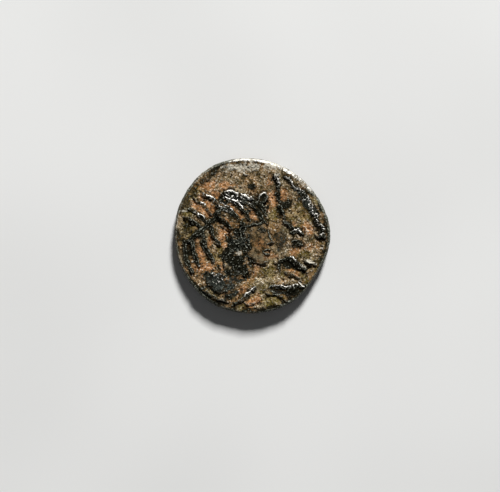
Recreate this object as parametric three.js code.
import * as THREE from "three";

// A small struck bronze coin lying on its reverse, in millimetres with +Z up and the origin in the middle of
// its underside. A place [x, y] on either side is seen from above and counted from the middle of the die, with
// the portrait upright and looking towards +X. Angles run anticlockwise from +X.

// Flan
const FLAN_RADII = [7.8, 7.6, 7.6, 7.8, 8.1, 8.0, 7.82, 7.82, 7.87, 7.75, 7.7, 7.5]; // every 30 degrees
const OBVERSE_FIELD = 1.3;
const REVERSE_FIELD = 0.17;
const EDGE_ROUND = 0.24;
const EDGE_SHOULDER = { width: 0.24, at: 58, spread: 30 }; // the flan's sloped shoulder, upper right
const EDGE_DROP = 0.42;
const FIELD_SWELL = 0.022;

// Wear: relief over the knee is rubbed down towards the limit
const WEAR_KNEE = 0.27;
const WEAR_LIMIT = 0.42;

// Head, in profile to +X. Heights on the face go by a third of the distance from brow line to chin and crown
const CROWN_Y = 4.45;
const CHIN_Y = -3.0;
const FOREHEAD_X = 1.5;
const FACE_UNIT = (CROWN_Y - CHIN_Y) / 3.5;
const HAIR_CAP = { at: [-1.2, 2.3], radii: [2.5, 2.15], turn: -15 };

// Relief heights over the field, and widths of the cut lines
const HEIGHT = { hair: 0.27, face: 0.25, neck: 0.2, bust: 0.15, lock: 0.15, feature: 0.12, fold: 0.15, tie: 0.2 };
const LOCK_WIDTH = 0.76;
const FEATURE_WIDTH = 0.36;
const TIE_WIDTH = { band: 0.9, end: 0.76 };
const FOLD_WIDTH = 0.64;
const LETTER = { width: 0.58, broad: 0.76, height: 0.17 };
const BORDER = { width: 0.8, height: 0.12 };

// Reverse
const REVERSE_RIM = { width: 0.75, height: 0.24 };
const BOSS = { radius: 1.25, height: 0.3 };
const WREATH = { radius: 5.25, pairs: 7, gap: 18, leaf: [1.12, 0.46], splay: 26, apart: 0.55, height: 0.16 };
const ROW = { y: [3.0, -3.0], count: 4, pitch: 1.25, tall: 1.2, lean: 0.5, width: 0.62, height: 0.13 };

// Rings of vertices, from the middle of one face out over the edge to the middle of the other
const OBVERSE_RINGS = 33;
const REVERSE_RINGS = 18;
const SECTORS = 6;
const EDGE_RINGS = [
  { side: "obverse", fall: 50, count: 180 },
  { side: "obverse", fall: 90, count: 156 },
  { side: "reverse", fall: 90, count: 132 },
  { side: "reverse", fall: 45, count: 120 },
];

const { clamp, degToRad, smoothstep } = THREE.MathUtils;

function catmullRom(a, b, c, d, t) {
  const slopeIn = (c - a) / 2;
  const slopeOut = (d - b) / 2;
  return (
    b + slopeIn * t + (3 * (c - b) - 2 * slopeIn - slopeOut) * t ** 2 + (2 * (b - c) + slopeIn + slopeOut) * t ** 3
  );
}

// Points of a smooth line through the given ones
function smoothLine(points, closed, steps = 6) {
  const last = points.length - 1;
  const at = (i) => points[closed ? (i + points.length) % points.length : clamp(i, 0, last)];
  const line = [];
  for (let i = 0; i < (closed ? points.length : last); i++) {
    for (let step = 0; step < steps; step++) {
      const mixed = (axis) => catmullRom(at(i - 1)[axis], at(i)[axis], at(i + 1)[axis], at(i + 2)[axis], step / steps);
      line.push([mixed(0), mixed(1)]);
    }
  }
  line.push(closed ? line[0] : points[last]);
  return line;
}

// Distance from a place to a line, and how far along the line the nearest point is, from 0 to 1
function nearestOn(line, x, y) {
  let best = { distance: Infinity, along: 0 };
  for (let i = 0; i + 1 < line.length; i++) {
    const [x0, y0] = line[i];
    const [dx, dy] = [line[i + 1][0] - x0, line[i + 1][1] - y0];
    const t = clamp(((x - x0) * dx + (y - y0) * dy) / (dx * dx + dy * dy), 0, 1);
    const distance = Math.hypot(x - x0 - t * dx, y - y0 - t * dy);
    if (distance < best.distance) best = { distance, along: (i + t) / (line.length - 1) };
  }
  return best;
}

function isInside(line, x, y) {
  let inside = false;
  for (let i = 0; i + 1 < line.length; i++) {
    const [[x0, y0], [x1, y1]] = [line[i], line[i + 1]];
    if (y0 > y !== y1 > y && x < x0 + ((y - y0) / (y1 - y0)) * (x1 - x0)) inside = !inside;
  }
  return inside;
}

// Three kinds of relief, each a function of a place that gives the height there

// A raised line with a rounded top, thinner at both ends
function stroke(points, width, height) {
  const line = smoothLine(points, false);
  return (x, y) => {
    const { distance, along } = nearestOn(line, x, y);
    const taper = 0.6 + 0.4 * Math.sqrt(Math.sin(Math.PI * clamp(along, 0.02, 0.98)));
    const across = distance / ((width / 2) * taper);
    return across < 1 ? height * (1 - across ** 3) ** 2 : 0;
  };
}

// A low mound on an ellipse
function mound({ at, radii, turn }, height) {
  const [cos, sin] = [Math.cos(degToRad(turn)), Math.sin(degToRad(turn))];
  return (x, y) => {
    const [dx, dy] = [x - at[0], y - at[1]];
    const out = Math.hypot((dx * cos + dy * sin) / radii[0], (dy * cos - dx * sin) / radii[1]);
    return out < 1 ? height * Math.sqrt(1 - out ** 4) : 0;
  };
}

// A flat area inside a closed smooth outline, rounded down over a slope at its edge
function plate(points, height, slope) {
  const line = smoothLine(points, true, 4);
  return (x, y) => {
    if (!isInside(line, x, y)) return 0;
    const inward = clamp(nearestOn(line, x, y).distance / slope, 0, 1);
    return height * Math.sqrt(1 - (1 - inward) ** 2);
  };
}

// Obverse

const onFace = ([forward, up]) => [FOREHEAD_X + forward * FACE_UNIT, CHIN_Y + up * FACE_UNIT];

function face() {
  const outline = [
    [-0.14, 2.95],
    [-0.01, 2.5],
    [0.03, 2.02],
    [-0.05, 1.78],
    [0.33, 1.13],
    [0.09, 0.98],
    [0.15, 0.79],
    [0.06, 0.67],
    [0.11, 0.55],
    [0, 0.42],
    [0.06, 0.2],
    [-0.12, 0],
    [-0.6, 0.1],
    [-1.1, 0.55],
    [-1.35, 1.3],
    [-1.2, 2.3],
  ];
  const features = {
    brow: [[0, 1.98], [-0.2, 2.08], [-0.48, 1.96]],
    eye: [[-0.1, 1.7], [-0.26, 1.8], [-0.46, 1.66]],
    nose: [[0.02, 1.5], [0.16, 1.2], [-0.02, 1.06]],
    upperLip: [[0.08, 0.76], [-0.2, 0.72]],
    lowerLip: [[0.05, 0.55], [-0.16, 0.6]],
    cheek: [[-0.55, 1.3], [-0.4, 1.05], [-0.42, 0.8]],
    ear: [[-1.05, 1.85], [-1.3, 1.75], [-1.25, 1.35], [-1.08, 1.15]],
  };
  return {
    masses: [plate(outline.map(onFace), HEIGHT.face, 0.55)],
    strokes: Object.values(features).map((points) => stroke(points.map(onFace), FEATURE_WIDTH, HEIGHT.feature)),
  };
}

function hair() {
  const locks = [
    [[-3.7, 1.75], [-2.95, 1.45], [-2.15, 0.85]],
    [[-3.6, 3.1], [-2.7, 2.6], [-1.8, 2.0], [-0.95, 1.15]],
    [[-2.9, 3.8], [-1.75, 3.25], [-0.8, 2.6], [-0.25, 1.65]],
    [[-0.95, 3.45], [0.0, 3.0], [0.65, 2.25], [1.15, 1.5]],
    [[0.4, 3.4], [0.95, 2.9], [1.4, 2.15]],
  ];
  const crownLobes = [
    { at: [-2.1, 4.2], radii: [0.75, 0.48], turn: -12 },
    { at: [-0.7, 3.9], radii: [0.62, 0.42], turn: -14 },
    { at: [0.95, 3.85], radii: [0.62, 0.48], turn: 18 },
  ];
  const hairline = [[-0.7, 0.95], [0.1, 1.2], [0.7, 1.2], [1.35, 1.5]];
  return {
    masses: [
      mound(HAIR_CAP, HEIGHT.hair),
      ...crownLobes.map((lobe) => mound(lobe, HEIGHT.hair + 0.1)),
    ],
    strokes: [
      ...locks.map((points) => stroke(points, LOCK_WIDTH, HEIGHT.lock)),
      stroke(hairline, FEATURE_WIDTH, HEIGHT.feature),
    ],
  };
}

function neck() {
  const outline = [
    [-2.2, 1.2],
    [-2.1, -0.8],
    [-2.7, -1.9],
    [-2.75, -3.5],
    [-1.5, -4.15],
    [-0.15, -3.8],
    [0.0, -2.6],
    [-0.2, -0.5],
    [-0.3, 1.2],
  ];
  return { masses: [plate(outline, HEIGHT.neck, 0.4)], strokes: [] };
}

// The knot behind the head and the ribbon ends that hang from it, each a little longer and further out
function ties() {
  const band = [[-3.4, 2.5], [-4.15, 1.35], [-5.1, 0.45], [-6.0, -0.2], [-6.8, -0.75]];
  const ends = [
    { from: [-4.05, 0.95], to: [-3.4, -0.85], bow: 0.12 },
    { from: [-4.95, 0.2], to: [-4.1, -2.45], bow: 0.3 },
    { from: [-6.05, -0.4], to: [-5.4, -2.9], bow: 0.25 },
    { from: [-6.7, -0.9], to: [-5.95, -3.75], bow: 0.35 },
  ];
  const hanging = ends.map(({ from, to, bow }) => {
    const middle = [(from[0] + to[0]) / 2 - bow, (from[1] + to[1]) / 2];
    return stroke([from, middle, to], TIE_WIDTH.end, HEIGHT.tie);
  });
  return { masses: [], strokes: [stroke(band, TIE_WIDTH.band, HEIGHT.tie), ...hanging] };
}

function bust() {
  const outline = [
    [-5.6, -4.9],
    [-3.9, -4.0],
    [-2.2, -3.75],
    [-0.6, -4.2],
    [0.8, -4.15],
    [2.8, -4.35],
    [5.6, -4.75],
    [7.5, -6.5],
    [5.0, -9.0],
    [-5.0, -9.0],
    [-7.5, -6.5],
  ];
  const folds = [
    [[0.3, -5.1], [-0.5, -5.95], [-2.0, -7.0]],
    [[1.9, -5.1], [3.3, -5.2], [4.2, -5.1], [5.1, -4.9]],
    [[1.2, -5.5], [2.2, -5.8], [3.4, -6.45]],
    [[-5.1, -5.3], [-3.9, -6.1], [-2.6, -6.6]],
    [[-0.7, -6.7], [0.3, -6.6], [1.1, -6.0]],
  ];
  const shoulder = { at: [-3.3, -4.7], radii: [1.8, 1.05], turn: -22 };
  return {
    masses: [plate(outline, HEIGHT.bust, 0.5), mound(shoulder, HEIGHT.bust + 0.13)],
    strokes: folds.map((points) => stroke(points, FOLD_WIDTH, HEIGHT.fold)),
  };
}

// Short strokes that stand where words would
function legend() {
  const leftBars = [
    [[-5.0, 4.25], [-4.3, 3.9], [-3.6, 3.4]],
    [[-5.85, 3.85], [-4.9, 2.95], [-4.05, 2.2]],
    [[-6.3, 2.75], [-5.4, 2.15], [-4.55, 1.5]],
    [[-6.75, 2.0], [-5.95, 1.45], [-5.15, 0.8]],
  ];
  const rightBars = [
    [[2.15, 6.15], [2.4, 5.4], [2.5, 4.85]],
    [[2.5, 4.5], [2.6, 3.95], [2.75, 3.4]],
    [[2.65, 3.0], [3.0, 2.4], [3.25, 1.75]],
    [[3.2, 1.4], [3.7, 1.2], [4.1, 0.75]],
    [[3.8, 0.4], [4.5, 0.55], [5.05, 0.2]],
  ];
  const lowerBars = [
    [[3.35, -3.6], [4.1, -3.95], [4.9, -4.4]],
    [[5.3, -2.4], [6.3, -2.75]],
    [[6.4, 0.0], [7.2, -0.1]],
  ];
  const hook = [[2.75, -3.2], [2.85, -2.5], [3.45, -2.25], [4.1, -2.55], [4.6, -2.95], [5.25, -3.3]];
  const blots = [
    { at: [3.3, 3.1], radii: [0.56, 0.4], turn: 20 },
    { at: [4.4, -0.72], radii: [0.7, 0.46], turn: 14 },
  ];
  const bars = [...leftBars, ...rightBars, ...lowerBars].map((points) => stroke(points, LETTER.width, LETTER.height));
  return {
    masses: blots.map((blot) => mound(blot, LETTER.height * 0.6)),
    strokes: [...bars, stroke(hook, LETTER.broad, LETTER.height)],
  };
}

// The worn ring of beads, run together, which the die's place on the flan leaves only on the right
function border() {
  const line = [[3.2, 5.95], [4.45, 4.7], [5.15, 3.95], [5.8, 2.9], [6.3, 1.95], [6.8, 0.85], [7.05, -0.2]];
  return { masses: [], strokes: [stroke(line, BORDER.width, BORDER.height)] };
}

// Reverse: a leaf wreath round two rows of short strokes and a boss, all rubbed level

// Pairs of leaves that climb both sides of a ring from a gap at its foot
function wreath() {
  const pitch = (180 - WREATH.gap) / (WREATH.pairs - 0.5);
  const leaves = [];
  for (const side of [1, -1]) {
    for (let i = 0; i < WREATH.pairs; i++) {
      for (const row of [1, -1]) {
        const angle = -90 + side * (WREATH.gap / 2 + (i + 0.5) * pitch);
        const radius = WREATH.radius + row * WREATH.apart;
        const at = [radius * Math.cos(degToRad(angle)), radius * Math.sin(degToRad(angle))];
        const turn = angle + side * (90 - row * WREATH.splay);
        leaves.push(mound({ at, radii: WREATH.leaf, turn }, WREATH.height));
      }
    }
  }
  return leaves;
}

function reverseRows() {
  return ROW.y.flatMap((y) =>
    Array.from({ length: ROW.count }, (_, i) => {
      const x = (i - (ROW.count - 1) / 2) * ROW.pitch;
      const [top, foot] = [
        [x + ROW.lean / 2, y + ROW.tall / 2],
        [x - ROW.lean / 2, y - ROW.tall / 2],
      ];
      return stroke([foot, top], ROW.width, ROW.height);
    }),
  );
}

// Faces of the coin

const highest = (shapes, x, y) => shapes.reduce((top, shape) => Math.max(top, shape(x, y)), 0);

// The flan isn't flat: slow swells from hammering and wear
const swell = (x, y) => FIELD_SWELL * (Math.sin(0.9 * x + 0.4) * Math.cos(0.8 * y - 0.7) + Math.sin(0.6 * x - 1.1 * y));

const obverseParts = [hair(), face(), neck(), ties(), bust(), legend(), border()];
const obverseMasses = obverseParts.flatMap((part) => part.masses);
const obverseStrokes = obverseParts.flatMap((part) => part.strokes);
const reverseStrokes = [...wreath(), ...reverseRows()];

function worn(height) {
  if (height < WEAR_KNEE) return height;
  const room = WEAR_LIMIT - WEAR_KNEE;
  return WEAR_KNEE + room * (1 - Math.exp((WEAR_KNEE - height) / room));
}

function obverseZ(x, y) {
  const relief = highest(obverseMasses, x, y) + highest(obverseStrokes, x, y);
  return OBVERSE_FIELD + swell(x, y) + worn(relief);
}

function reverseZ(x, y) {
  const inFromEdge = flanRadius(Math.atan2(y, x)) - EDGE_ROUND - Math.hypot(x, y);
  const rim = REVERSE_RIM.height * (1 - smoothstep(inFromEdge, REVERSE_RIM.width, REVERSE_RIM.width * 1.8));
  const boss = BOSS.height * (1 - smoothstep(Math.hypot(x, y), BOSS.radius, BOSS.radius * 1.5));
  const relief = Math.max(rim, boss, highest(reverseStrokes, x, y));
  return Math.max(0, REVERSE_FIELD + swell(x, y) / 2 - relief);
}

// Edge

function flanRadius(angle) {
  const turn = (angle / (2 * Math.PI) + 1) * FLAN_RADII.length;
  const i = Math.floor(turn);
  const radius = (step) => FLAN_RADII[(i + step + FLAN_RADII.length) % FLAN_RADII.length];
  return catmullRom(radius(-1), radius(0), radius(1), radius(2), turn - i);
}

// How far inside the outline a face ends
function edgeWidth(side, angle) {
  if (side === "reverse") return EDGE_ROUND;
  const off = Math.abs(THREE.MathUtils.radToDeg(angle) - EDGE_SHOULDER.at);
  return EDGE_ROUND + EDGE_SHOULDER.width * (1 - smoothstep(off, EDGE_SHOULDER.spread / 2, EDGE_SHOULDER.spread));
}

const polar = (radius, angle, z) => new THREE.Vector3(radius * Math.cos(angle), radius * Math.sin(angle), z);

function facePoint(side, part, angle) {
  const radius = part * (flanRadius(angle) - edgeWidth(side, angle));
  const { x, y } = polar(radius, angle, 0);
  return new THREE.Vector3(x, y, side === "obverse" ? obverseZ(x, y) : reverseZ(x, y));
}

// A point of the rounded edge, where the face has turned by the angle called fall
function edgePoint({ side, fall }, angle) {
  const lip = facePoint(side, 1, angle);
  const out = edgeWidth(side, angle) * (1 - Math.sin(degToRad(fall)));
  const drop = EDGE_DROP * (1 - Math.cos(degToRad(fall)));
  return polar(flanRadius(angle) - out, angle, side === "obverse" ? lip.z - drop : lip.z + drop);
}

// Mesh

function ring(count, pointAt) {
  return Array.from({ length: count }, (_, i) => pointAt((i / count) * 2 * Math.PI));
}

function coinRings() {
  const faceRing = (side, rings, k) => ring(Math.max(1, SECTORS * k), (angle) => facePoint(side, k / rings, angle));
  const outward = Array.from({ length: OBVERSE_RINGS + 1 }, (_, k) => faceRing("obverse", OBVERSE_RINGS, k));
  const edge = EDGE_RINGS.map((step) => ring(step.count, (angle) => edgePoint(step, angle)));
  const inward = Array.from({ length: REVERSE_RINGS + 1 }, (_, k) => faceRing("reverse", REVERSE_RINGS, k)).reverse();
  return [...outward, ...edge, ...inward];
}

// Fills the band between two rings with triangles, stepping along whichever ring is behind
function stitch(first, second, firstStart, secondStart) {
  const triangles = [];
  const at = (start, points, i) => start + (i % points.length);
  let [a, b] = [0, 0];
  const [aEnd, bEnd] = [first, second].map((points) => (points.length > 1 ? points.length : 0));
  while (a < aEnd || b < bEnd) {
    const corner = [at(firstStart, first, a), at(secondStart, second, b)];
    const stepFirst = b >= bEnd || (a < aEnd && (a + 1) / aEnd < (b + 1) / bEnd);
    if (stepFirst) a += 1;
    else b += 1;
    triangles.push(...corner, stepFirst ? at(firstStart, first, a) : at(secondStart, second, b));
  }
  return triangles;
}

function coinGeometry() {
  const rings = coinRings();
  const starts = rings.map((_, i) => rings.slice(0, i).reduce((sum, points) => sum + points.length, 0));
  const triangles = rings.slice(1).flatMap((points, i) => stitch(rings[i], points, starts[i], starts[i + 1]));
  const geometry = new THREE.BufferGeometry().setFromPoints(rings.flat());
  geometry.setIndex(triangles);
  geometry.computeBoundingBox();
  const middle = geometry.boundingBox.getCenter(new THREE.Vector3());
  geometry.translate(-middle.x, -middle.y, 0);
  geometry.computeVertexNormals();
  return geometry;
}

const bronze = new THREE.MeshStandardMaterial({ color: 0x59503c, roughness: 0.55, metalness: 0.6 });
const coin = new THREE.Mesh(coinGeometry(), bronze);
coin.name = "coin";

const nummus = new THREE.Group();
nummus.add(coin);

export default nummus;
